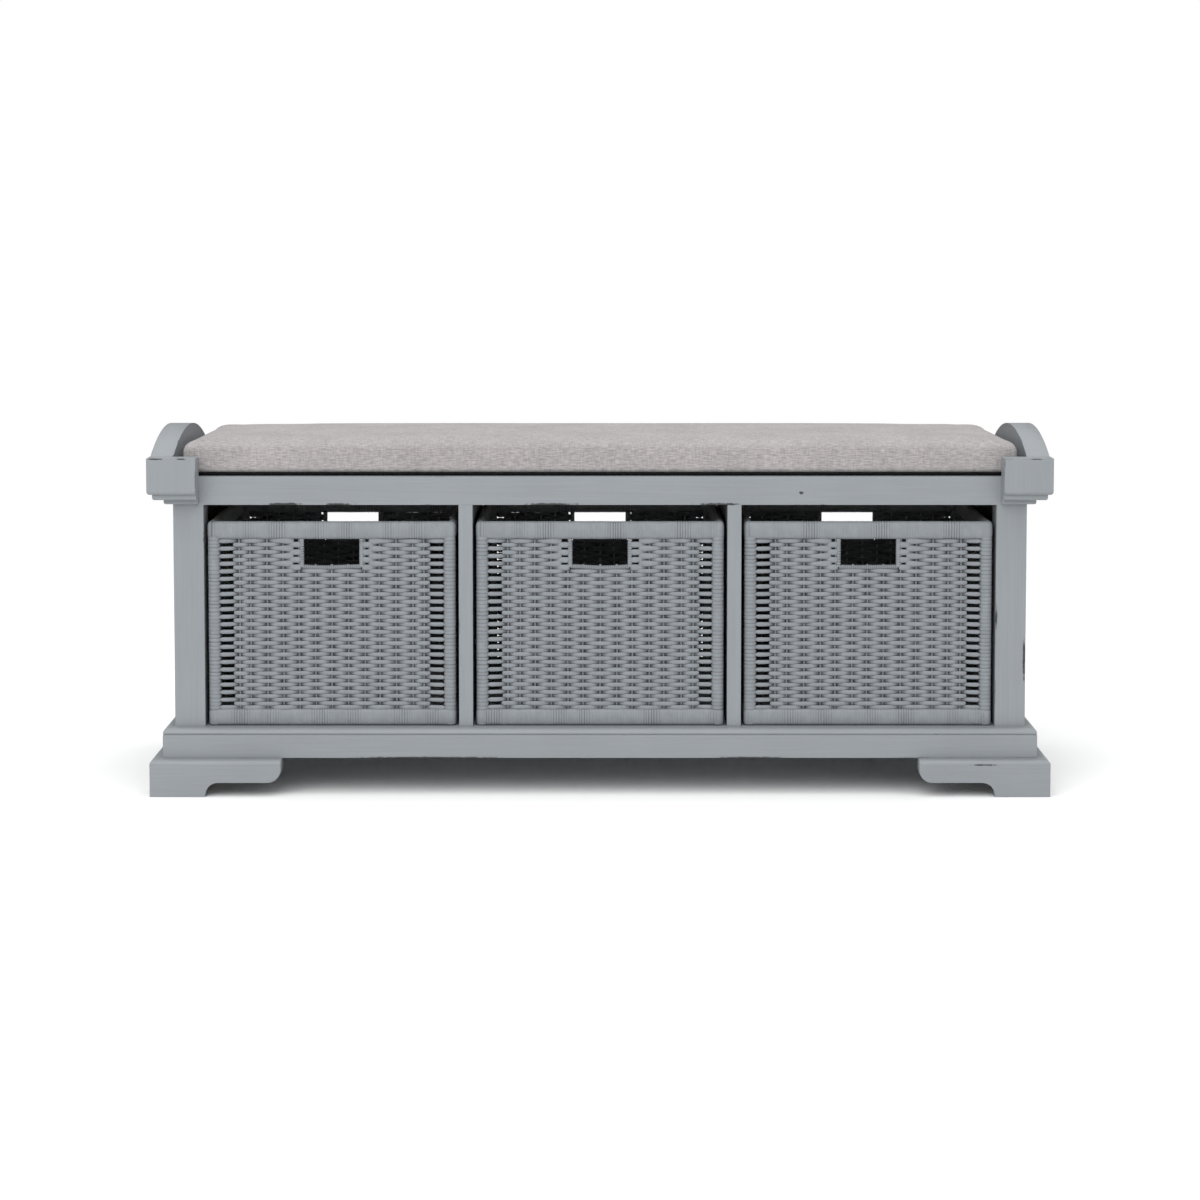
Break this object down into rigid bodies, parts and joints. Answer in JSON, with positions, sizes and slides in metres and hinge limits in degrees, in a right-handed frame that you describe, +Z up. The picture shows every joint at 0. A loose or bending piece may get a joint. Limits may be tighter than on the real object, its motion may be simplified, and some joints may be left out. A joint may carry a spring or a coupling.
{
  "type": "entryway bench",
  "caption": "Painted entryway bench with a padded seat between arched arms, open bays with pull-out woven baskets, and a moulded base on bracket feet.",
  "frame": {"origin": "on the floor, midway along the width and the depth of the bench", "axes": "+X to the sitter's left as seen from the front (right in a front view), +Y to the back, +Z up"},
  "size_m": [1.22, 0.39, 0.492],
  "materials": {
    "painted_timber": "satin grey paint, lightly rubbed through at the edges",
    "basket_cane": "woven paper cane, painted grey",
    "seat_linen": "warm grey slubbed linen weave",
    "black_backing": "black dust cloth over a board",
    "hook_and_loop": "woven black tape",
    "plain_timber": "unpainted pine, sanded",
    "dowel_beech": "fluted beech",
    "zinc_steel": "zinc plated"
  },
  "bodies": {
    "bench": {"arm_beads": "painted_timber", "arm_block_front_left": "painted_timber", "arm_block_front_right": "painted_timber", "arm_block_rear_left": "painted_timber", "arm_block_rear_right": "painted_timber", "arm_rail_left": "painted_timber", "arm_rail_right": "painted_timber", "base_corner_blocks": "plain_timber", "base_rail_front": "painted_timber", "base_rail_left": "painted_timber", "base_rail_rear": "painted_timber", "base_rail_right": "painted_timber", "cushion": "seat_linen", "cushion_board": "black_backing", "deck_cleats": "plain_timber", "divider_left": "painted_timber", "divider_right": "painted_timber", "dowels": "dowel_beech", "end_panel_left": "painted_timber", "end_panel_right": "painted_timber", "end_rail_lower_left": "painted_timber", "end_rail_lower_right": "painted_timber", "end_rail_upper_left": "painted_timber", "end_rail_upper_right": "painted_timber", "foot_front_left": "painted_timber", "foot_front_right": "painted_timber", "foot_glue_blocks": "plain_timber", "foot_rear_boards": "painted_timber", "foot_side_front_left": "painted_timber", "foot_side_front_right": "painted_timber", "foot_side_rear_left": "painted_timber", "foot_side_rear_right": "painted_timber", "hook_and_loop_strips": "hook_and_loop", "post_front_left": "painted_timber", "post_front_right": "painted_timber", "post_rear_left": "painted_timber", "post_rear_right": "painted_timber", "screws": "zinc_steel", "seat_deck": "plain_timber", "shelf": "painted_timber", "top_rail_front": "painted_timber", "top_rail_rear": "painted_timber"},
    "basket_left": {"basket_left_back_weave": "basket_cane", "basket_left_floor": "basket_cane", "basket_left_frame": "basket_cane", "basket_left_front_weave": "basket_cane", "basket_left_rim": "basket_cane", "basket_left_side_weaves": "basket_cane"},
    "basket_middle": {"basket_middle_back_weave": "basket_cane", "basket_middle_floor": "basket_cane", "basket_middle_frame": "basket_cane", "basket_middle_front_weave": "basket_cane", "basket_middle_rim": "basket_cane", "basket_middle_side_weaves": "basket_cane"},
    "basket_right": {"basket_right_back_weave": "basket_cane", "basket_right_floor": "basket_cane", "basket_right_frame": "basket_cane", "basket_right_front_weave": "basket_cane", "basket_right_rim": "basket_cane", "basket_right_side_weaves": "basket_cane"}
  },
  "joints": [
    {"name": "basket_left_slide", "type": "slide", "parent": "bench", "child": "basket_left", "axis": [0, -1, 0], "range_m": [0, 0.3]},
    {"name": "basket_middle_slide", "type": "slide", "parent": "bench", "child": "basket_middle", "axis": [0, -1, 0], "range_m": [0, 0.3]},
    {"name": "basket_right_slide", "type": "slide", "parent": "bench", "child": "basket_right", "axis": [0, -1, 0], "range_m": [0, 0.3]}
  ]
}
